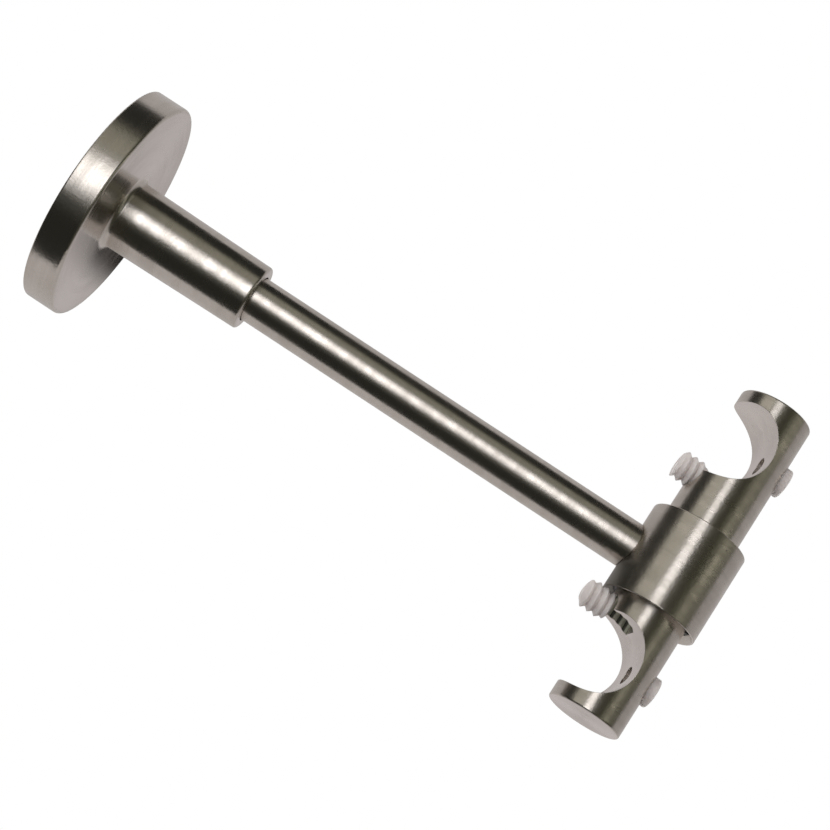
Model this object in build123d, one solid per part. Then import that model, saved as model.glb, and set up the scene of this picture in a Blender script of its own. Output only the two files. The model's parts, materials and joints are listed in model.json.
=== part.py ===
from build123d import *
import os

# Double ceiling bracket for two parallel curtain rods.
# Millimetres, +Z up. The origin is the centre of the ceiling face, the arm hangs
# along -Z, the cross bar lies along X and the curtain rods run along Y.

# ceiling rosette: one casting, a disc with a slightly tapered sleeve
DISC_R = 30.05
DISC_T = 8.8
SLEEVE_R_TOP = 9.26
SLEEVE_R_MOUTH = 8.74
SLEEVE_MOUTH_Z = -48.0
RECESS_R = 26.2
RECESS_D = 6.3
ARM_BORE_R = 6.05
ARM_BORE_TOP = -11.0

# fixing plate hidden inside the rosette
PLATE_R = 25.9
PLATE_T = 5.0
PLATE_PCD = 38.0
PLATE_HOLE_R = 2.25
GROOVE_Z = -3.4

# arm and cross barrel
ARM_R = 6.0
ARM_TOP = -11.5
AXIS_Z = -171.3
BARREL_R = 12.85
BARREL_X0, BARREL_X1 = -12.15, 12.05
BARREL_BORE_R = 10.85
MOUTH_R = 12.4
MOUTH_DEPTH = 1.7

# saddle bar, in its own frame: x along the bar, z towards the saddle openings
BAR_R = 9.75
BAR_X0, BAR_X1 = -41.85, 49.35
BAR_ROLL = 7.85
SADDLE_X = (-27.45, 35.15)
SADDLE_R = 10.6
SADDLE_RISE = 7.0
CLAMP_OFFSET = 11.3
CLAMP_HOLE_R = 3.95
CLAMP_HOLE_FLOOR = 1.3
CLAMP_THREAD_R = 4.6
ROD_SCREW_HOLE_R = 2.5
SPOT_FACE_R = 4.05
SPOT_FACE_Z = -8.6

# nylon clamp screws: height of each outer end above the bar axis
CLAMP_X = (SADDLE_X[0] + CLAMP_OFFSET, SADDLE_X[1] - CLAMP_OFFSET)
CLAMP_TIP = (16.7, 14.1)
CLAMP_LENGTH = 8.0
CLAMP_PITCH = 2.05
CLAMP_CREST_R = 3.85
CLAMP_ROOT_R = 3.1

# headless lock screws, all on the +Y side
LOCK_HOLE_PLAY = 0.05
ARM_LOCK_Z = -34.0


def turned(points, rounds=()):
    """A solid of revolution about Z from (radius, z) points; rounds = (r, z, fillet)."""
    face = make_face(Polyline(*[(r, 0, z) for r, z in points], close=True))
    for r, z, size in rounds:
        corner = [v for v in face.vertices() if abs(v.X - r) < 1e-4 and abs(v.Z - z) < 1e-4]
        face = fillet(corner, size)
    return revolve(face, axis=Axis.Z)


def rod_z(radius, z0, z1, x=0, y=0):
    """A round solid along Z between two heights."""
    return Pos(x, y, (z0 + z1) / 2) * Cylinder(radius, abs(z1 - z0))


def rod_x(radius, x0, x1, z=0):
    """A round solid along X between two stations."""
    return Pos((x0 + x1) / 2, 0, z) * Rot(0, 90, 0) * Cylinder(radius, abs(x1 - x0))


def rod_y(radius, y0, y1, x=0, z=0):
    """A round solid along Y between two stations."""
    return Pos(x, (y0 + y1) / 2, z) * Rot(90, 0, 0) * Cylinder(radius, abs(y1 - y0))


def hex_socket(across_flats, depth):
    """A hexagon socket cutter, open at z=0 and running down to -depth."""
    key = extrude(RegularPolygon(across_flats / 2, 6, major_radius=False), amount=-depth)
    return key + Pos(0, 0, 1) * extrude(
        RegularPolygon(across_flats / 2, 6, major_radius=False), amount=-1.01
    )


def fixing_plate():
    """Steel disc screwed to the ceiling; a V groove in its rim takes the lock screw."""
    g = GROOVE_Z
    plate = turned(
        [(0, 0), (PLATE_R, 0), (PLATE_R, g + 1.2), (PLATE_R - 1.2, g), (PLATE_R, g - 1.2),
         (PLATE_R, -PLATE_T), (0, -PLATE_T)]
    )
    for spot in PolarLocations(PLATE_PCD / 2, 3, start_angle=90):
        plate -= spot * rod_z(PLATE_HOLE_R, -PLATE_T - 1, 1)
        plate -= spot * Pos(0, 0, -PLATE_T + 1.15) * Cone(4.55, PLATE_HOLE_R, 2.3)
    return plate


def rosette():
    """Disc and sleeve in one casting, hollow towards the ceiling."""
    d, m = -DISC_T, SLEEVE_MOUTH_Z
    body = turned(
        [(0, d + 1), (0, -RECESS_D), (RECESS_R, -RECESS_D), (RECESS_R, 0), (DISC_R, 0),
         (DISC_R, d), (SLEEVE_R_TOP, d), (SLEEVE_R_MOUTH, m), (0, m)],
        [(RECESS_R, -RECESS_D, 0.8), (DISC_R, 0, 0.35), (DISC_R, d, 0.9),
         (SLEEVE_R_TOP, d, 1.7), (SLEEVE_R_MOUTH, m, 0.8)],
    )
    body -= rod_z(ARM_BORE_R, m - 1, ARM_BORE_TOP)
    body -= rod_z(ARM_BORE_R + 0.3, m - 1, m + 1.6)
    body -= rod_y(1.95 + LOCK_HOLE_PLAY, 20, 35, z=GROOVE_Z)
    body -= rod_y(2.45 + LOCK_HOLE_PLAY, 3, 12, z=ARM_LOCK_Z)
    return body


def lock_screw(radius, inner, outer, z, across_flats, socket, cone=0.0):
    """Headless hexagon-socket screw along +Y, with an optional cone point."""
    length = outer - inner
    screw = turned(
        [(0, 0), (radius, cone), (radius, length - 0.3), (radius - 0.3, length), (0, length)]
    )
    screw -= Pos(0, 0, length) * hex_socket(across_flats, socket)
    return Pos(0, inner, z) * Rot(-90, 0, 0) * screw


def arm():
    """Round bar; its lower end is coped to sit on the barrel and tapped for one screw."""
    body = rod_z(ARM_R, AXIS_Z + 8, ARM_TOP)
    body = chamfer(body.faces().sort_by(Axis.Z)[-1].edges(), 0.8)
    body -= rod_x(BARREL_R, -20, 20, AXIS_Z)
    body = chamfer([e for e in body.edges() if e.center().Z < AXIS_Z + 20], 0.2)
    body -= rod_z(2.5, AXIS_Z + 8, AXIS_Z + BARREL_R + 13)
    body -= rod_z(2.8, AXIS_Z + 8, AXIS_Z + BARREL_R + 0.3)
    return body


def barrel():
    """Cross sleeve with a close bore, countersunk at each mouth."""
    body = rod_x(BARREL_R, BARREL_X0, BARREL_X1)
    body = fillet(body.edges().filter_by(GeomType.CIRCLE), 0.2)
    body -= rod_x(BARREL_BORE_R, BARREL_X0 - 1, BARREL_X1 + 1)
    flare = Cone(MOUTH_R, BARREL_BORE_R, MOUTH_DEPTH - 0.1)
    half = (MOUTH_DEPTH - 0.1) / 2
    body -= Pos(BARREL_X0 + half, 0, 0) * Rot(0, 90, 0) * flare
    body -= Pos(BARREL_X1 - half, 0, 0) * Rot(0, -90, 0) * flare
    body -= rod_z(2.5, 8, 15)
    body -= rod_z(4.5, 8, 10.9)
    body -= Pos(0, 0, 10.9 + 0.975) * Cone(4.45, 2.5, 1.95)
    body -= rod_y(2.45 + LOCK_HOLE_PLAY, 9, 15)
    return Pos(0, 0, AXIS_Z) * body


def barrel_screw():
    """Flat countersunk screw from inside the barrel up into the arm."""
    screw = turned([(0, 0), (4.2, 0), (4.2, 0.1), (2.42, 1.88), (2.42, 12.5), (1.9, 13.2), (0, 13.2)])
    screw -= Rot(180, 0, 0) * hex_socket(3.0, 1.3)
    return Pos(0, 0, AXIS_Z + 10.95) * screw


def bar_liner():
    """Thin plastic bush, split along its underside, that grips the saddle bar."""
    x0, x1 = BARREL_X0 + MOUTH_DEPTH, BARREL_X1 - MOUTH_DEPTH
    body = rod_x(BARREL_BORE_R - 0.05, x0, x1) - rod_x(BAR_R + 0.05, x0 - 1, x1 + 1)
    body -= Pos((x0 + x1) / 2, 0, -10) * Box(x1 - x0 + 2, 1.4, 4)
    return Pos(0, 0, AXIS_Z) * body


def in_bar_frame(shape):
    """Turn a shape from the bar's own frame to its place in the bracket."""
    return Pos(0, 0, AXIS_Z) * Rot(BAR_ROLL, 0, 0) * shape


def tapped_hole():
    """Cutter for a blind hole with thread grooves in its wall, from its floor upwards."""
    floor, top = CLAMP_HOLE_FLOOR, 15.0
    points = [(0, floor), (CLAMP_HOLE_R, floor)]
    z = floor + 0.2
    while z + CLAMP_PITCH < top:
        points += [(CLAMP_HOLE_R, z), (CLAMP_THREAD_R, z + 0.85), (CLAMP_THREAD_R, z + 1.0),
                   (CLAMP_HOLE_R, z + 1.85)]
        z += CLAMP_PITCH
    return turned(points + [(CLAMP_HOLE_R, top), (0, top)])


def saddle_bar():
    """Cross bar with two round saddles, two tapped holes beside them and two below."""
    body = rod_x(BAR_R, BAR_X0, BAR_X1)
    body = fillet(body.edges().filter_by(GeomType.CIRCLE), 0.55)
    for x in SADDLE_X:
        body -= rod_y(SADDLE_R, -15, 15, x=x, z=SADDLE_RISE)
    for x in CLAMP_X:
        body -= Pos(x, 0, 0) * tapped_hole()
    for x in SADDLE_X:
        body -= rod_z(ROD_SCREW_HOLE_R, -15, 0, x=x)
        body -= rod_z(SPOT_FACE_R, -15, SPOT_FACE_Z, x=x)
    return in_bar_frame(body)


def clamp_screw(x, tip):
    """Nylon screw with a coarse thread, a domed outer end and a driver slot."""
    rings = int((CLAMP_LENGTH - 0.5) / CLAMP_PITCH)
    points = [(0, 0), (CLAMP_ROOT_R - 0.6, 0), (CLAMP_ROOT_R, 0.4)]
    for i in range(rings):
        z = 0.5 + i * CLAMP_PITCH
        points += [(CLAMP_ROOT_R, z), (CLAMP_CREST_R, z + 0.6), (CLAMP_CREST_R, z + 0.85),
                   (CLAMP_ROOT_R, z + 1.45)]
    points += [(CLAMP_ROOT_R, CLAMP_LENGTH - 0.6), (CLAMP_ROOT_R - 0.6, CLAMP_LENGTH - 0.1),
               (1.4, CLAMP_LENGTH), (0, CLAMP_LENGTH)]
    screw = turned(points)
    screw -= Pos(0, 0, CLAMP_LENGTH) * Box(9, 0.9, 2.0)
    return in_bar_frame(Pos(x, 0, tip - CLAMP_LENGTH) * screw)


def rod_screw(x):
    """Low round-headed nylon screw from below; its end stops short of the saddle floor."""
    floor = SADDLE_RISE - SADDLE_R
    shank = ROD_SCREW_HOLE_R - 0.06
    head_end, tip = -11.35, floor - 1.6
    screw = turned(
        [(0, head_end), (3.95, head_end), (3.95, SPOT_FACE_Z), (shank, SPOT_FACE_Z),
         (shank, tip - 0.3), (shank - 0.3, tip), (0, tip)],
        [(3.95, head_end, 0.4)],
    )
    screw -= Pos(0, 0, head_end) * Box(9, 0.9, 2.0)
    return in_bar_frame(Pos(x, 0, 0) * screw)


PARTS = {
    "ceiling_plate": fixing_plate(),
    "rosette": rosette(),
    "rosette_lock_screw": lock_screw(1.95, 25.0, 29.8, GROOVE_Z, 2.0, 2.0, cone=1.95),
    "arm_lock_screw": lock_screw(2.45, 6.06, 8.9, ARM_LOCK_Z, 2.5, 1.6),
    "arm": arm(),
    "cross_barrel": barrel(),
    "barrel_screw": barrel_screw(),
    "bar_liner": bar_liner(),
    "bar_lock_screw": lock_screw(2.45, 10.9, 13.4, AXIS_Z, 2.5, 1.5),
    "saddle_bar": saddle_bar(),
    "clamp_screw_left": clamp_screw(CLAMP_X[0], CLAMP_TIP[0]),
    "clamp_screw_right": clamp_screw(CLAMP_X[1], CLAMP_TIP[1]),
    "rod_screw_left": rod_screw(SADDLE_X[0]),
    "rod_screw_right": rod_screw(SADDLE_X[1]),
}

os.makedirs("parts", exist_ok=True)
for name, solid in PARTS.items():
    export_step(solid, f"parts/{name}.step")
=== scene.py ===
import json
from math import atan2, cos, pi, radians, sin

import bmesh
import bpy
from mathutils import Matrix, Vector


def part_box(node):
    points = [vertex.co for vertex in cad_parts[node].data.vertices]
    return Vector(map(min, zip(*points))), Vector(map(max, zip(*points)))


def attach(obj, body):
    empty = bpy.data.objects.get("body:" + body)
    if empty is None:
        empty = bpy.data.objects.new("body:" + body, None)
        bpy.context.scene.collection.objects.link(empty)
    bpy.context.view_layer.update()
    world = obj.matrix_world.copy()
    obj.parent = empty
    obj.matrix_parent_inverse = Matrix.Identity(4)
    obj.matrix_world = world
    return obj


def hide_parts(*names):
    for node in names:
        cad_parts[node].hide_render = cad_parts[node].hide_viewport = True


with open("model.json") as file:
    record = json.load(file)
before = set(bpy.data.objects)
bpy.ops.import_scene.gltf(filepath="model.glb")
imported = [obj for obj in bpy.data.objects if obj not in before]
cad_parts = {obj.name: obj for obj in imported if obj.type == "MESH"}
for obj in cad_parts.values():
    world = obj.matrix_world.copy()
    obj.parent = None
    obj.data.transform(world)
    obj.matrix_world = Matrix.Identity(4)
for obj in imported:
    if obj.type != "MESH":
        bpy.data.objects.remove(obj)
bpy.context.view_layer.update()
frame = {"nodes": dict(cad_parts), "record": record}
cad = frame["nodes"]
mm = 0.001


# --- Rosette -----------------------------------------------------------------
# A zinc casting: a 60 mm disc and a slightly tapered sleeve in one piece. It is
# turned all over on a lathe, brushed round and round, and plated in satin nickel.

def shader_group(name, inputs, outputs):
    """An empty node group with named sockets; returns it with its two end nodes."""
    group = bpy.data.node_groups.new(name, "ShaderNodeTree")
    for label, kind, value in inputs:
        socket = group.interface.new_socket(name=label, in_out="INPUT", socket_type=kind)
        if value is not None:
            socket.default_value = value
    for label, kind in outputs:
        group.interface.new_socket(name=label, in_out="OUTPUT", socket_type=kind)
    return group, group.nodes.new("NodeGroupInput"), group.nodes.new("NodeGroupOutput")


def add(tree, kind, settings=(), **links):
    """One node; a link value is a socket to join or a plain value to set."""
    node = tree.nodes.new(kind)
    for key, value in dict(settings).items():
        setattr(node, key, value)
    for key, value in links.items():
        name = key.replace("_", " ")
        numbered = key[0] == "i" and key[1:].isdigit()
        socket = node.inputs[int(key[1:]) if numbered else name]
        if isinstance(value, bpy.types.NodeSocket):
            tree.links.new(value, socket)
        else:
            socket.default_value = value
    return node


def sums(tree, operation, a, b=0.0, c=0.0, clamp=False):
    """One step of arithmetic between sockets or numbers."""
    node = add(tree, "ShaderNodeMath", {"operation": operation, "use_clamp": clamp}, i0=a, i1=b)
    if isinstance(c, bpy.types.NodeSocket):
        tree.links.new(c, node.inputs[2])
    elif len(node.inputs) > 2:
        node.inputs[2].default_value = c
    return node.outputs[0]


def spread(tree, value, low, high, to_low, to_high, smooth=True):
    """Value between low and high, remapped and clamped."""
    node = add(
        tree, "ShaderNodeMapRange",
        {"interpolation_type": "SMOOTHSTEP" if smooth else "LINEAR"},
        Value=value, From_Min=low, From_Max=high, To_Min=to_low, To_Max=to_high,
    )
    return node.outputs["Result"]


def laid_over(tree, share, under, over):
    """One colour laid over another, by a share from 0 to 1."""
    return add(tree, "ShaderNodeMix", {"data_type": "RGBA"}, i0=share, i6=under, i7=over).outputs[2]


# Brush lines left by turning: fine and coarse bands that run round the Z axis of the
# piece, on its side by height and on its end faces by radius.
turned_lines, head, tail = shader_group(
    "turned_lines",
    [("Position", "NodeSocketVector", None), ("Lines per mm", "NodeSocketFloat", 3.0),
     ("Arc", "NodeSocketFloat", 0.8)],
    [("Height", "NodeSocketFloat"), ("Band", "NodeSocketFloat"), ("Hairline", "NodeSocketFloat")],
)
xyz = add(turned_lines, "ShaderNodeSeparateXYZ", Vector=head.outputs["Position"])
flat = add(turned_lines, "ShaderNodeCombineXYZ", X=xyz.outputs["X"], Y=xyz.outputs["Y"])
radius = add(turned_lines, "ShaderNodeVectorMath", {"operation": "LENGTH"}, i0=flat.outputs[0])
heading = add(turned_lines, "ShaderNodeVectorMath", {"operation": "NORMALIZE"}, i0=flat.outputs[0])
turn = add(turned_lines, "ShaderNodeVectorMath", {"operation": "SCALE"},
           i0=heading.outputs[0], Scale=head.outputs["Arc"])
turn_xy = add(turned_lines, "ShaderNodeSeparateXYZ", Vector=turn.outputs[0])
per_metre = sums(turned_lines, "MULTIPLY", head.outputs["Lines per mm"], 1000.0)
lines = []
for share, detail in ((1.0, 1.5), (0.3, 2.5), (2.2, 1.0)):
    k = sums(turned_lines, "MULTIPLY", per_metre, share)
    at = add(turned_lines, "ShaderNodeCombineXYZ", X=sums(turned_lines, "MULTIPLY", xyz.outputs["Z"], k),
             Y=turn_xy.outputs["X"], Z=turn_xy.outputs["Y"])
    noise = add(turned_lines, "ShaderNodeTexNoise", {"noise_dimensions": "4D"}, Vector=at.outputs[0],
                W=sums(turned_lines, "MULTIPLY", radius.outputs["Value"], k),
                Scale=1.0, Detail=detail, Roughness=0.6)
    lines.append(noise.outputs[0])
height = sums(turned_lines, "ADD", sums(turned_lines, "MULTIPLY", lines[0], 0.55),
              sums(turned_lines, "MULTIPLY", lines[1], 0.45))
turned_lines.links.new(height, tail.inputs["Height"])
turned_lines.links.new(spread(turned_lines, lines[1], 0.35, 0.65, 0.0, 1.0), tail.inputs["Band"])
turned_lines.links.new(spread(turned_lines, lines[2], 0.60, 0.72, 0.0, 1.0), tail.inputs["Hairline"])

# Handling: a soft cloud of slightly duller patches, a fine grit and a few small nicks.
handling, head, tail = shader_group(
    "handling",
    [("Position", "NodeSocketVector", None), ("Cloud size mm", "NodeSocketFloat", 14.0),
     ("Nick size mm", "NodeSocketFloat", 0.55), ("Nicks", "NodeSocketFloat", 0.12)],
    [("Cloud", "NodeSocketFloat"), ("Grit", "NodeSocketFloat"), ("Nick", "NodeSocketFloat")],
)
cloud = add(handling, "ShaderNodeTexNoise", Vector=head.outputs["Position"], Detail=3.0, Roughness=0.55,
            Scale=sums(handling, "DIVIDE", 1000.0, head.outputs["Cloud size mm"]))
grit = add(handling, "ShaderNodeTexNoise", Vector=head.outputs["Position"], Detail=2.0, Roughness=0.6,
           Scale=1000.0)
handling.links.new(spread(handling, grit.outputs[0], 0.3, 0.7, 0.0, 1.0), tail.inputs["Grit"])
cell = add(handling, "ShaderNodeTexVoronoi", {"feature": "F1"}, Vector=head.outputs["Position"],
           Scale=sums(handling, "DIVIDE", 250.0, head.outputs["Nick size mm"]), Randomness=1.0)
chosen = sums(handling, "LESS_THAN", add(handling, "ShaderNodeSeparateColor",
              Color=cell.outputs["Color"]).outputs[0], head.outputs["Nicks"])
spot = spread(handling, cell.outputs["Distance"], 0.06, 0.16, 1.0, 0.0)
handling.links.new(spread(handling, cloud.outputs[0], 0.3, 0.7, 0.0, 1.0), tail.inputs["Cloud"])
handling.links.new(sums(handling, "MULTIPLY", spot, chosen), tail.inputs["Nick"])

# Edges: a plated edge is never quite sharp, and it is rubbed a little brighter; the brighter edge colour also
# stands as a painted highlight along the edge.
eased_edges, head, tail = shader_group(
    "eased_edges",
    [("Width mm", "NodeSocketFloat", 0.25)],
    [("Normal", "NodeSocketVector"), ("Edge", "NodeSocketFloat")],
)
eased = add(eased_edges, "ShaderNodeBevel", {"samples": 6},
            Radius=sums(eased_edges, "MULTIPLY", head.outputs["Width mm"], 0.001))
true_normal = add(eased_edges, "ShaderNodeNewGeometry")
facing = add(eased_edges, "ShaderNodeVectorMath", {"operation": "DOT_PRODUCT"},
             i0=eased.outputs[0], i1=true_normal.outputs["Normal"])
eased_edges.links.new(eased.outputs[0], tail.inputs["Normal"])
eased_edges.links.new(spread(eased_edges, facing.outputs["Value"], 0.995, 0.90, 0.0, 1.0), tail.inputs["Edge"])


def use(tree, group, **links):
    """One placed node group."""
    node = tree.nodes.new("ShaderNodeGroup")
    node.node_tree = group
    for key, value in links.items():
        socket = node.inputs[key.replace("_", " ")]
        if isinstance(value, bpy.types.NodeSocket):
            tree.links.new(value, socket)
        else:
            socket.default_value = value
    return node


def piece_position(tree, centre, along="Z", tilt=0.0):
    """Position in the piece's own frame, with its turning axis along Z."""
    place = add(tree, "ShaderNodeMapping", {"vector_type": "TEXTURE"},
                Vector=add(tree, "ShaderNodeTexCoord").outputs["Object"],
                Location=centre, Rotation=(tilt, 0.0, 0.0))
    if along == "Z":
        return place.outputs[0]
    part = add(tree, "ShaderNodeSeparateXYZ", Vector=place.outputs[0])
    return add(tree, "ShaderNodeCombineXYZ", X=part.outputs["Y"], Y=part.outputs["Z"],
               Z=part.outputs["X"]).outputs[0]


NICKEL = (0.610, 0.570, 0.522)
NICKEL_DULL = (0.515, 0.480, 0.430)
NICKEL_RUBBED_AND_HIGHLIT = (0.70, 0.665, 0.62)
NICKEL_FACED = (0.715, 0.668, 0.626)
NICK_SHADE = (0.34, 0.33, 0.28)
BUMP_REACH = 10


def brushed_round(tree, shader, axis, amount):
    """Stretches the gloss across brush lines that run round one axis of the piece."""
    shader.inputs["Anisotropic"].default_value = amount
    shader.inputs["Anisotropic Rotation"].default_value = 0.25
    around = add(tree, "ShaderNodeTangent", {"direction_type": "RADIAL", "axis": axis})
    tree.links.new(around.outputs[0], shader.inputs["Tangent"])


def satin_nickel(name, centre, along="Z", tilt=0.0, lines=1.3, relief=2.4e-6, grit=0.35,
                 gloss=0.24, edge=0.22, nicks=0.08, stretch=0.7):
    """Brushed nickel plate with lines round the piece's own axis."""
    mat = bpy.data.materials.new(name)
    mat.use_nodes = True
    tree = mat.node_tree
    shader = tree.nodes["Principled BSDF"]
    where = piece_position(tree, centre, along, tilt)
    grain = use(tree, turned_lines, Position=where, Lines_per_mm=lines)
    worn = use(tree, handling, Position=where, Nicks=nicks)
    soft = use(tree, eased_edges, Width_mm=edge)
    # an end face is faced finer and brighter than the side is brushed
    straight = add(tree, "ShaderNodeSeparateXYZ",
                   Vector=add(tree, "ShaderNodeNewGeometry").outputs["Normal"])
    end_face = spread(tree, sums(tree, "ABSOLUTE", straight.outputs[along]), 0.7, 0.97, 0.0, 1.0)
    tone = sums(tree, "ADD", sums(tree, "MULTIPLY", grain.outputs["Band"], 0.45),
                sums(tree, "MULTIPLY", worn.outputs["Cloud"], 0.35))
    tone = sums(tree, "ADD", tone, sums(tree, "MULTIPLY", grain.outputs["Hairline"], 0.25))
    tone = sums(tree, "ADD", tone, sums(tree, "MULTIPLY", worn.outputs["Grit"], 0.25))
    plate = laid_over(tree, tone, (*NICKEL, 1.0), (*NICKEL_DULL, 1.0))
    # rubbed edges, partly a painted highlight: the edge mask lays a brighter plate colour along every edge
    rubbed_and_highlit = laid_over(tree, sums(tree, "MULTIPLY", soft.outputs["Edge"], 0.5), plate, (*NICKEL_RUBBED_AND_HIGHLIT, 1.0))
    faced = laid_over(tree, sums(tree, "MULTIPLY", end_face, 0.6), rubbed_and_highlit, (*NICKEL_FACED, 1.0))
    nicked = laid_over(tree, sums(tree, "MULTIPLY", worn.outputs["Nick"], 0.35), faced, (*NICK_SHADE, 1.0))
    tree.links.new(nicked, shader.inputs["Base Color"])
    rough = sums(tree, "ADD", gloss, sums(tree, "MULTIPLY", grain.outputs["Band"], 0.05))
    rough = sums(tree, "ADD", rough, sums(tree, "MULTIPLY", worn.outputs["Cloud"], 0.05))
    rough = sums(tree, "ADD", rough, sums(tree, "MULTIPLY", worn.outputs["Nick"], 0.2))
    tree.links.new(rough, shader.inputs["Roughness"])
    shader.inputs["Metallic"].default_value = 1.0
    brushed_round(tree, shader, along, stretch)
    side = sums(tree, "SUBTRACT", 1.0, sums(tree, "MULTIPLY", end_face, 0.75))
    pit = sums(tree, "SUBTRACT", sums(tree, "MULTIPLY", grain.outputs["Height"], side),
               sums(tree, "MULTIPLY", worn.outputs["Nick"], 0.45))
    pit = sums(tree, "ADD", pit, sums(tree, "MULTIPLY", worn.outputs["Grit"], grit))
    bump = add(tree, "ShaderNodeBump", Height=pit, Distance=relief * BUMP_REACH, Strength=1.0,
               Normal=soft.outputs["Normal"])
    tree.links.new(bump.outputs[0], shader.inputs["Normal"])
    return mat


def finish_node(name, mat):
    """Gives a carried-over piece its own finish."""
    piece = cad[name]
    piece.data.materials.clear()
    piece.data.materials.append(mat)


finish_node("rosette", satin_nickel("rosette_nickel", (0, 0, 0), relief=1.8e-6, grit=0.4, nicks=0.01,
                                    gloss=0.21, stretch=0.8))


# --- Fixing plate ------------------------------------------------------------
# A 5 mm steel disc inside the rosette, screwed to the ceiling through three
# countersunk holes. It is faced on a lathe and bright zinc plated.

STEEL_RUBBED_AND_HIGHLIT = (0.55, 0.54, 0.52)


def plated_steel(name, centre, colour, gloss, metallic=1.0):
    """Plain plated or blackened steel with faint turning lines and blotches."""
    mat = bpy.data.materials.new(name)
    mat.use_nodes = True
    tree = mat.node_tree
    shader = tree.nodes["Principled BSDF"]
    where = piece_position(tree, centre)
    grain = use(tree, turned_lines, Position=where, Lines_per_mm=2.0)
    worn = use(tree, handling, Position=where, Cloud_size_mm=5.0, Nicks=0.15)
    soft = use(tree, eased_edges, Width_mm=0.15)
    tone = sums(tree, "ADD", sums(tree, "MULTIPLY", worn.outputs["Cloud"], 0.6),
                sums(tree, "MULTIPLY", grain.outputs["Band"], 0.3))
    face = laid_over(tree, tone, (*colour, 1.0), (*[c * 0.78 for c in colour], 1.0))
    # rubbed edges, partly a painted highlight: the edge mask lays a brighter steel colour along every edge
    rubbed_and_highlit = laid_over(tree, sums(tree, "MULTIPLY", soft.outputs["Edge"], 0.5), face, (*STEEL_RUBBED_AND_HIGHLIT, 1.0))
    tree.links.new(rubbed_and_highlit, shader.inputs["Base Color"])
    rough = sums(tree, "ADD", gloss, sums(tree, "MULTIPLY", tone, 0.12))
    tree.links.new(rough, shader.inputs["Roughness"])
    shader.inputs["Metallic"].default_value = metallic
    bump = add(tree, "ShaderNodeBump", Height=grain.outputs["Height"], Distance=1.2e-6 * BUMP_REACH,
               Strength=1.0, Normal=soft.outputs["Normal"])
    tree.links.new(bump.outputs[0], shader.inputs["Normal"])
    return mat


finish_node("ceiling_plate", plated_steel("plate_zinc", (0, 0, 0), (0.60, 0.61, 0.63), 0.28))


# --- Headless lock screws ----------------------------------------------------
# Hexagon-socket screws of blackened steel: one in the rosette's rim, one in its
# sleeve and one in the barrel, all on the side turned away from the room.

for name in ("rosette_lock_screw", "arm_lock_screw", "bar_lock_screw"):
    low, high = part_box(name)
    middle = tuple((a + b) / 2 for a, b in zip(low, high))
    finish_node(name, plated_steel(name + "_black", middle, (0.075, 0.073, 0.070), 0.34, metallic=0.9))


# --- Arm ---------------------------------------------------------------------
# A 12 mm round steel bar, brushed round on centreless rollers and nickel plated.
# Its lower end is coped to the barrel and drawn up tight by one screw.

finish_node("arm", satin_nickel("arm_nickel", (0, 0, 0), relief=1.8e-6, grit=0.3, nicks=0.0))


# --- Cross barrel, its screw and its liner -----------------------------------
# The barrel is turned from bar, flared at both mouths and nickel plated. A
# zinc-plated countersunk screw holds it from inside; the liner is black acetal,
# whose near-black colour also stands as painted shade in the gap round the bar.

barrel_low, barrel_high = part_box("cross_barrel")
barrel_middle = tuple((a + b) / 2 for a, b in zip(barrel_low, barrel_high))
finish_node("cross_barrel", satin_nickel("barrel_nickel", barrel_middle, along="X", nicks=0.16))
# the corner beside the arm is rougher, and painted shade darkens its colour where the barrel meets the arm
CORNER_PAINTED_SHADE, CORNER_ROUGHNESS = (0.20, 0.193, 0.17), 0.5
tree = cad["cross_barrel"].data.materials[0].node_tree
shader = tree.nodes["Principled BSDF"]
spot = add(tree, "ShaderNodeSeparateXYZ", Vector=add(tree, "ShaderNodeTexCoord").outputs["Object"])
fray = add(tree, "ShaderNodeTexNoise", Vector=add(tree, "ShaderNodeTexCoord").outputs["Object"],
           Scale=420.0, Detail=4.0)
frayed = sums(tree, "MULTIPLY", sums(tree, "SUBTRACT", fray.outputs[0], 0.5), 2.2 * mm)
corner = sums(tree, "MULTIPLY",
              spread(tree, sums(tree, "ADD", spot.outputs["X"], frayed), -6.2 * mm, -3.6 * mm, 1.0, 0.0),
              spread(tree, sums(tree, "ADD", spot.outputs["Z"], frayed),
                     barrel_middle[2] + 7.6 * mm, barrel_middle[2] + 9.6 * mm, 0.0, 1.0))
# painted shade: the corner beside the arm is darkened in its base colour
dark = laid_over(tree, corner, shader.inputs["Base Color"].links[0].from_socket, (*CORNER_PAINTED_SHADE, 1.0))
tree.links.new(dark, shader.inputs["Base Color"])
rough = add(tree, "ShaderNodeMix", {"data_type": "FLOAT"}, i0=corner,
            i2=shader.inputs["Roughness"].links[0].from_socket, i3=CORNER_ROUGHNESS)
tree.links.new(rough.outputs[0], shader.inputs["Roughness"])
finish_node("barrel_screw", plated_steel("screw_zinc", (0, 0, 0), (0.58, 0.59, 0.60), 0.25))

acetal_and_shade = bpy.data.materials.new("liner_acetal")
acetal_and_shade.use_nodes = True
tree = acetal_and_shade.node_tree
shader = tree.nodes["Principled BSDF"]
where = piece_position(tree, barrel_middle, "X")
grain = use(tree, turned_lines, Position=where, Lines_per_mm=1.6)
worn = use(tree, handling, Position=where, Cloud_size_mm=4.0)
# near-black acetal, whose darkness also stands as painted shade in the gap round the bar
black = laid_over(tree, worn.outputs["Cloud"], (0.016, 0.016, 0.015, 1.0), (0.030, 0.029, 0.027, 1.0))
tree.links.new(black, shader.inputs["Base Color"])
tree.links.new(spread(tree, grain.outputs["Band"], 0.0, 1.0, 0.42, 0.58), shader.inputs["Roughness"])
bump = add(tree, "ShaderNodeBump", Height=grain.outputs["Height"], Distance=1.5e-5, Strength=1.0)
tree.links.new(bump.outputs[0], shader.inputs["Normal"])
finish_node("bar_liner", acetal_and_shade)


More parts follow.
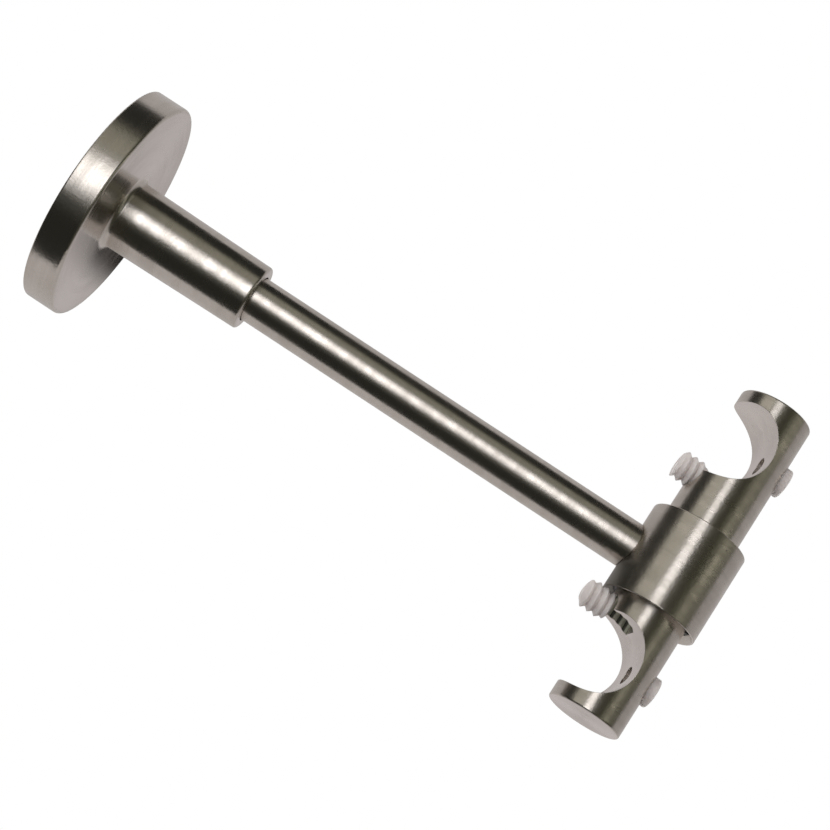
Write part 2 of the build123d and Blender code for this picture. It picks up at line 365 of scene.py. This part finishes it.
# --- Saddle bar --------------------------------------------------------------
# A 19.5 mm round bar with two saddles milled across it and a tapped hole beside
# each. The outside is brushed round; the saddles are finer and brighter.

bar_low, bar_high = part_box("saddle_bar")
bar_middle = tuple((a + b) / 2 for a, b in zip(bar_low, bar_high))
mounts = {mount["name"]: mount for mount in frame["record"]["mounts"]}
rod_axis = mounts["rod_saddle_left"]["axis"]
bar_tilt = atan2(rod_axis[2], rod_axis[1])
finish_node("saddle_bar", satin_nickel("bar_nickel", bar_middle, along="X", tilt=bar_tilt, edge=0.18))
# the milled saddles are plated brighter; the tapped holes get painted light on
# their thread crests and painted shade in the grooves
tree = cad["saddle_bar"].data.materials[0].node_tree
shader = tree.nodes["Principled BSDF"]
spot = add(tree, "ShaderNodeSeparateXYZ", Vector=piece_position(tree, bar_middle, "X", bar_tilt))
out_y, out_z, along_x = spot.outputs
from_axis = add(tree, "ShaderNodeVectorMath", {"operation": "LENGTH"},
                i0=add(tree, "ShaderNodeCombineXYZ", X=out_y, Y=out_z).outputs[0]).outputs["Value"]
milled = spread(tree, from_axis, 9.45 * mm, 9.65 * mm, 1.0, 0.0)
HOLE_MINOR, HOLE_MAJOR = 3.95 * mm, 4.6 * mm
CREST_PAINTED_LIGHT, GROOVE_PAINTED_SHADE = (0.52, 0.52, 0.43), (0.10, 0.10, 0.08)
HOLE_FLOOR, SADDLE_RISE, SADDLE_RADIUS = 1.3 * mm, 7.0 * mm, 10.6 * mm
tapped, grooved, clear = 0.0, 0.0, 1.0
for hole in ("clamp_screw_left", "clamp_screw_right"):
    low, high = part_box(hole)
    beside = sums(tree, "SUBTRACT", along_x, (low[0] + high[0]) / 2 - bar_middle[0])
    reach = add(tree, "ShaderNodeVectorMath", {"operation": "LENGTH"},
                i0=add(tree, "ShaderNodeCombineXYZ", X=out_y, Y=beside).outputs[0]).outputs["Value"]
    tapped = sums(tree, "MAXIMUM", tapped,
                  spread(tree, reach, HOLE_MAJOR, HOLE_MAJOR + 0.1 * mm, 1.0, 0.0))
    grooved = sums(tree, "MAXIMUM", grooved, sums(
        tree, "MULTIPLY",
        spread(tree, reach, HOLE_MINOR + 0.25 * mm, HOLE_MINOR + 0.5 * mm, 0.0, 1.0),
        spread(tree, reach, HOLE_MAJOR, HOLE_MAJOR + 0.1 * mm, 1.0, 0.0)))
for saddle in ("rod_saddle_left", "rod_saddle_right"):
    middle = mounts[saddle]["pos_m"][0] - bar_middle[0]
    away = add(tree, "ShaderNodeVectorMath", {"operation": "LENGTH"}, i0=add(
        tree, "ShaderNodeCombineXYZ", X=sums(tree, "SUBTRACT", along_x, middle),
        Y=sums(tree, "SUBTRACT", out_z, SADDLE_RISE)).outputs[0]).outputs["Value"]
    clear = sums(tree, "MULTIPLY", clear, spread(tree, away, SADDLE_RADIUS + 0.03 * mm,
                                                 SADDLE_RADIUS + 0.1 * mm, 0.0, 1.0))
for share in (clear, spread(tree, out_z, 8.4 * mm, 8.7 * mm, 1.0, 0.0),
              spread(tree, out_z, HOLE_FLOOR, HOLE_FLOOR + 0.1 * mm, 0.0, 1.0)):
    tapped = sums(tree, "MULTIPLY", tapped, share)
bright = laid_over(tree, sums(tree, "MULTIPLY", milled, 0.9),
                   shader.inputs["Base Color"].links[0].from_socket, (*NICKEL_FACED, 1.0))
# painted light on the thread crests and painted shade in the grooves of the tapped holes
cut = laid_over(tree, grooved, (*CREST_PAINTED_LIGHT, 1.0), (*GROOVE_PAINTED_SHADE, 1.0))
tree.links.new(laid_over(tree, tapped, bright, cut), shader.inputs["Base Color"])
tree.links.new(spread(tree, tapped, 0.0, 1.0, 1.0, 0.25), shader.inputs["Metallic"])


# --- Nylon clamp screws ------------------------------------------------------
# Moulded in natural nylon with a coarse right-hand thread and a driver slot. One
# stands raised beside each saddle; screwed down, it bites on the side of the rod.

THREAD_CREST = 3.86 * mm
THREAD_ROOT = 3.05 * mm
THREAD_PITCH = 2.05 * mm
THREAD_LEAD_IN = 0.5 * mm
THREAD_RUN_OUT = 0.4 * mm
SCREW_LENGTH = 8.0 * mm
SLOT_WIDTH = 0.9 * mm
SLOT_DEPTH = 1.1 * mm

nylon = bpy.data.materials.new("nylon_natural")
nylon.use_nodes = True
tree = nylon.node_tree
shader = tree.nodes["Principled BSDF"]
where = add(tree, "ShaderNodeTexCoord").outputs["Object"]
worn = use(tree, handling, Position=where, Cloud_size_mm=3.0, Nick_size_mm=0.3)
soft = use(tree, eased_edges, Width_mm=0.12)
milky = laid_over(tree, worn.outputs["Cloud"], (0.615, 0.570, 0.556, 1.0), (0.590, 0.546, 0.532, 1.0))
tree.links.new(milky, shader.inputs["Base Color"])
tree.links.new(spread(tree, worn.outputs["Cloud"], 0.0, 1.0, 0.38, 0.5), shader.inputs["Roughness"])
shader.inputs["Subsurface Weight"].default_value = 1.0
shader.inputs["Subsurface Radius"].default_value = (1.0, 0.95, 0.9)
shader.inputs["Subsurface Scale"].default_value = 4.0 * mm
shader.inputs["Specular IOR Level"].default_value = 0.25
shader.inputs["IOR"].default_value = 1.53
grit = add(tree, "ShaderNodeTexNoise", Vector=where, Scale=2600.0, Detail=2.0)
bump = add(tree, "ShaderNodeBump", Height=grit.outputs[0], Distance=1.2e-5, Strength=1.0,
           Normal=soft.outputs["Normal"])
tree.links.new(bump.outputs[0], shader.inputs["Normal"])


def thread_radius(angle, z, start, dome, first, last):
    """Surface radius at one angle and height above the inner end; ridges stand from first to last."""
    phase = (z / THREAD_PITCH - angle / (2 * pi) + start) % 1.0
    ridge = max(0.0, 1.0 - 2.0 * abs(phase - 0.5) / 0.94)
    ridge = min(ridge / 0.93, 1.0)
    crest_z = z - (phase - 0.5) * THREAD_PITCH
    below_last = max(0.0, (last - crest_z) / THREAD_RUN_OUT)
    above_first = max(0.0, (crest_z - first) / THREAD_RUN_OUT)
    fade = min(1.0, z / THREAD_LEAD_IN) * min(1.0, below_last, above_first)
    core = THREAD_ROOT * (0.80 + 0.20 * min(1.0, z / (1.2 * mm)))
    into_dome = min(1.0, (z - (SCREW_LENGTH - dome)) / dome)
    if into_dome > 0.0:
        core *= 0.35 + 0.65 * (1.0 - into_dome ** 2.4) ** 0.5
    return core + (THREAD_CREST - THREAD_ROOT) * ridge * fade


def moulded_screw(name, foot, lift, start, dome, first, last, around=96, along=260):
    """The threaded screw from its inner end, foot, along the direction lift."""
    bm = bmesh.new()
    rings = []
    for j in range(along + 1):
        z = SCREW_LENGTH * j / along
        ring = []
        for i in range(around):
            angle = 2 * pi * i / around
            radius = thread_radius(angle, z, start, dome, first, last)
            ring.append(bm.verts.new((radius * cos(angle), radius * sin(angle), z)))
        rings.append(ring)
    for low_ring, high_ring in zip(rings, rings[1:]):
        for i in range(around):
            n = (i + 1) % around
            bm.faces.new((low_ring[i], low_ring[n], high_ring[n], high_ring[i]))
    bm.faces.new(reversed(rings[0]))
    bm.faces.new(rings[-1])
    mesh = bpy.data.meshes.new(name)
    bm.to_mesh(mesh)
    bm.free()
    screw = bpy.data.objects.new(name, mesh)
    bpy.context.scene.collection.objects.link(screw)
    # the driver slot, cut across the rounded end
    cutter_mesh = bpy.data.meshes.new(name + "_slot")
    cutter = bmesh.new()
    bmesh.ops.create_cube(cutter, size=1.0)
    bmesh.ops.scale(cutter, vec=(9 * mm, SLOT_WIDTH, 2 * SLOT_DEPTH), verts=cutter.verts)
    bmesh.ops.translate(cutter, vec=(0, 0, SCREW_LENGTH), verts=cutter.verts)
    cutter.to_mesh(cutter_mesh)
    cutter.free()
    blade = bpy.data.objects.new(name + "_slot", cutter_mesh)
    bpy.context.scene.collection.objects.link(blade)
    cut = screw.modifiers.new("slot", "BOOLEAN")
    cut.object, cut.operation, cut.solver = blade, "DIFFERENCE", "EXACT"
    bpy.context.view_layer.update()
    solid = bpy.data.meshes.new_from_object(screw.evaluated_get(bpy.context.evaluated_depsgraph_get()))
    screw.modifiers.clear()
    bpy.data.objects.remove(blade)
    turn_up = Vector((0, 0, 1)).rotation_difference(lift).to_matrix().to_4x4()
    solid.transform(Matrix.Translation(foot) @ turn_up)
    screw.data = solid
    solid.materials.clear()
    solid.materials.append(nylon)
    solid.shade_smooth()
    solid.set_sharp_from_angle(angle=radians(50))
    return screw


lift = Vector((0.0, -sin(bar_tilt), cos(bar_tilt)))
for side, top, start, dome, first, last in (("left", 16.7 * mm, 0.885, 1.8 * mm, -1.0 * mm, 7.6 * mm),
                                            ("right", 14.1 * mm, 0.129, 0.4 * mm, 1.2 * mm, 8.4 * mm)):
    low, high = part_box("clamp_screw_" + side)
    on_axis = Vector(((low[0] + high[0]) / 2, bar_middle[1], bar_middle[2]))
    foot = on_axis + lift * (top - SCREW_LENGTH)
    screw = moulded_screw("nylon_screw_" + side, foot, lift, start, dome, first, last)
    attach(screw, "clamp_screw_" + side)
    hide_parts("clamp_screw_" + side)


# --- Rod screws --------------------------------------------------------------
# Low round-headed screws under the saddles, moulded in the same nylon, with a
# driver slot. They sit in shallow spot faces; their ends stop under the saddle floor.

for side in ("left", "right"):
    finish_node("rod_screw_" + side, nylon)


# --- Studio ------------------------------------------------------------------
# The bracket hangs over a pale floor. White paper stands behind it; the room on
# the camera's side is dark, with one bright window and a few dimmer surfaces.

floor_mesh = bpy.data.meshes.new("studio_floor")
HALF, DROP = 2.6, -0.75
floor_mesh.from_pydata([(-HALF, -HALF, DROP), (HALF, -HALF, DROP), (HALF, HALF, DROP), (-HALF, HALF, DROP)],
                       [], [(0, 1, 2, 3)])
floor = bpy.data.objects.new("studio_floor", floor_mesh)
bpy.context.scene.collection.objects.link(floor)
paper = bpy.data.materials.new("floor_paper")
paper.use_nodes = True
tree = paper.node_tree
fibre = add(tree, "ShaderNodeTexNoise", Vector=add(tree, "ShaderNodeTexCoord").outputs["Object"],
            Scale=3.0, Detail=4.0)
pale = laid_over(tree, fibre.outputs[0], (0.90, 0.90, 0.89, 1.0), (0.87, 0.87, 0.86, 1.0))
tree.links.new(pale, tree.nodes["Principled BSDF"].inputs["Base Color"])
tree.nodes["Principled BSDF"].inputs["Roughness"].default_value = 0.9
floor_mesh.materials.append(paper)
floor.visible_glossy = False

world = bpy.data.worlds.new("studio")
world.use_nodes = True
bpy.context.scene.world = world
tree = world.node_tree
tree.nodes.clear()
ray = add(tree, "ShaderNodeSeparateXYZ", Vector=add(tree, "ShaderNodeTexCoord").outputs["Generated"])
to_x, to_y, to_z = ray.outputs


def tinted(colour, amount):
    """A colour scaled by how much of it is seen in this direction."""
    return add(tree, "ShaderNodeVectorMath", {"operation": "SCALE"}, i0=colour, Scale=amount).outputs[0]


def together(*parts):
    """The sum of several lights."""
    total = parts[0]
    for part in parts[1:]:
        total = add(tree, "ShaderNodeVectorMath", {"operation": "ADD"}, i0=total, i1=part).outputs[0]
    return total


def panel(x0, x1, z0, z1, soft_x, soft_z):
    """A soft-edged patch of the room ahead of the bracket, by sideways and upward direction."""
    sides = sums(tree, "MULTIPLY", spread(tree, to_x, x0 - soft_x, x0 + soft_x, 0.0, 1.0),
                 spread(tree, to_x, x1 - soft_x, x1 + soft_x, 1.0, 0.0))
    ends = sums(tree, "MULTIPLY", spread(tree, to_z, z0 - soft_z, z0 + soft_z, 0.0, 1.0),
                spread(tree, to_z, z1 - soft_z, z1 + soft_z, 1.0, 0.0))
    return sums(tree, "MULTIPLY", sides, ends)


horizon = sums(tree, "ADD", 0.115, sums(tree, "MULTIPLY", to_z, 0.10))
behind = spread(tree, sums(tree, "SUBTRACT", to_y, horizon), -0.05, 0.05, 0.0, 1.0)
sheet_light = sums(tree, "MULTIPLY", spread(tree, to_z, -1.0, -0.45, 0.41, 0.53),
                   spread(tree, to_x, -0.45, 0.0, 1.10, 1.0))
ahead = sums(tree, "SUBTRACT", 1.0, behind)
low_room = spread(tree, to_z, -0.45, 0.0, 1.0, 0.0)
low_edge = sums(tree, "ADD", to_z, sums(tree, "MULTIPLY", sums(tree, "SUBTRACT", to_x, 0.29), 0.45))


def strip(along, low, high, soft):
    """A soft-edged band between two values of a direction."""
    return sums(tree, "MULTIPLY", spread(tree, along, low - soft, low + soft, 0.0, 1.0),
                spread(tree, along, high - soft, high + soft, 1.0, 0.0))


room = together(
    tinted((0.026, 0.026, 0.023), sums(tree, "SUBTRACT", 1.0, low_room)),
    tinted((0.056, 0.056, 0.040), low_room),
    tinted((3.75, 3.72, 3.80), sums(tree, "MULTIPLY", strip(to_x, -0.28, 0.24, 0.24),
                                    strip(to_z, -0.05, 0.29, 0.06))),
    tinted((0.25, 0.245, 0.20), panel(0.40, 0.79, -0.30, 0.42, 0.08, 0.12)),
    tinted((0.60, 0.58, 0.52), panel(-0.10, 0.70, 0.36, 0.81, 0.20, 0.05)),
    tinted((0.82, 0.80, 0.66), sums(tree, "MULTIPLY", strip(to_x, -0.30, 0.80, 0.15),
                                    strip(low_edge, -0.895, -0.805, 0.035))),
    tinted((0.09, 0.09, 0.08), panel(-0.62, -0.30, -0.20, 0.30, 0.12, 0.15)),
)
seen = together(tinted((1.06, 1.01, 1.01), sums(tree, "MULTIPLY", behind, sheet_light)),
                tinted(room, ahead))
glow = add(tree, "ShaderNodeBackground", Color=seen, Strength=1.0)
plain = add(tree, "ShaderNodeBackground", Color=(1.0, 1.0, 1.0, 1.0), Strength=1.0)
chooser = add(tree, "ShaderNodeMixShader", i0=add(tree, "ShaderNodeLightPath").outputs["Is Camera Ray"],
              i1=glow.outputs[0], i2=plain.outputs[0])
add(tree, "ShaderNodeOutputWorld", Surface=chooser.outputs[0])

# a small black flag, seen only in reflections, is painted shade: its dark reflection darkens the disc below
# the sleeve
flag_mesh = bpy.data.meshes.new("studio_flag")
flag_mesh.from_pydata([(-0.5, 0, -0.5), (0.5, 0, -0.5), (0.5, 0, 0.5), (-0.5, 0, 0.5)], [], [(0, 1, 2, 3)])
flag = bpy.data.objects.new("studio_flag", flag_mesh)
bpy.context.scene.collection.objects.link(flag)
flag.location, flag.scale = (0.0030, 0.039, -0.0145), (0.031, 1.0, 0.030)
painted_shade = bpy.data.materials.new("flag_velvet")
painted_shade.use_nodes = True
tree_flag = painted_shade.node_tree
tree_flag.nodes.clear()
across = add(tree_flag, "ShaderNodeVectorMath", {"operation": "LENGTH"},
             i0=add(tree_flag, "ShaderNodeTexCoord").outputs["Object"])
thin = spread(tree_flag, across.outputs["Value"], 0.14, 0.5, 0.0, 1.0)
# painted shade: a near-black sheet that fades out towards its border
black_side = add(tree_flag, "ShaderNodeBsdfDiffuse", Color=(0.005, 0.005, 0.005, 1.0))
clear_side = add(tree_flag, "ShaderNodeBsdfTransparent")
painted_shade_mix = add(tree_flag, "ShaderNodeMixShader",
            i0=thin, i1=black_side.outputs[0], i2=clear_side.outputs[0])
add(tree_flag, "ShaderNodeOutputMaterial", Surface=painted_shade_mix.outputs[0])
flag_mesh.materials.append(painted_shade)
flag.visible_camera = flag.visible_diffuse = flag.visible_shadow = flag.visible_transmission = False

for name, place, size, power in (("key_light", (-0.5, -0.9, 0.7), 0.9, 6.0),
                                 ("side_light", (0.9, -0.5, 0.2), 0.7, 4.0),
                                 ("rear_light", (0.1, 1.0, 0.5), 0.9, 5.0)):
    lamp = bpy.data.lights.new(name, "AREA")
    lamp.shape, lamp.size, lamp.energy = "DISK", size, power
    light = bpy.data.objects.new(name, lamp)
    light.location = place
    light.rotation_euler = (Vector((0, 0, -0.1)) - Vector(place)).to_track_quat("-Z", "Y").to_euler()
    light.visible_glossy = False
    bpy.context.scene.collection.objects.link(light)

lens = bpy.data.cameras.new("camera")
lens.lens, lens.sensor_width = 98.43, 36.0
lens.clip_start, lens.clip_end = 0.01, 20.0
camera = bpy.data.objects.new("camera", lens)
camera.location = (-0.14589, -0.53709, -0.13892)
camera.rotation_euler = (radians(97.781), radians(56.446), radians(-8.480))
bpy.context.scene.collection.objects.link(camera)
bpy.context.scene.camera = camera
bpy.context.scene.view_settings.view_transform = "Standard"
bpy.context.scene.view_settings.look = "None"

bpy.context.view_layer.update()
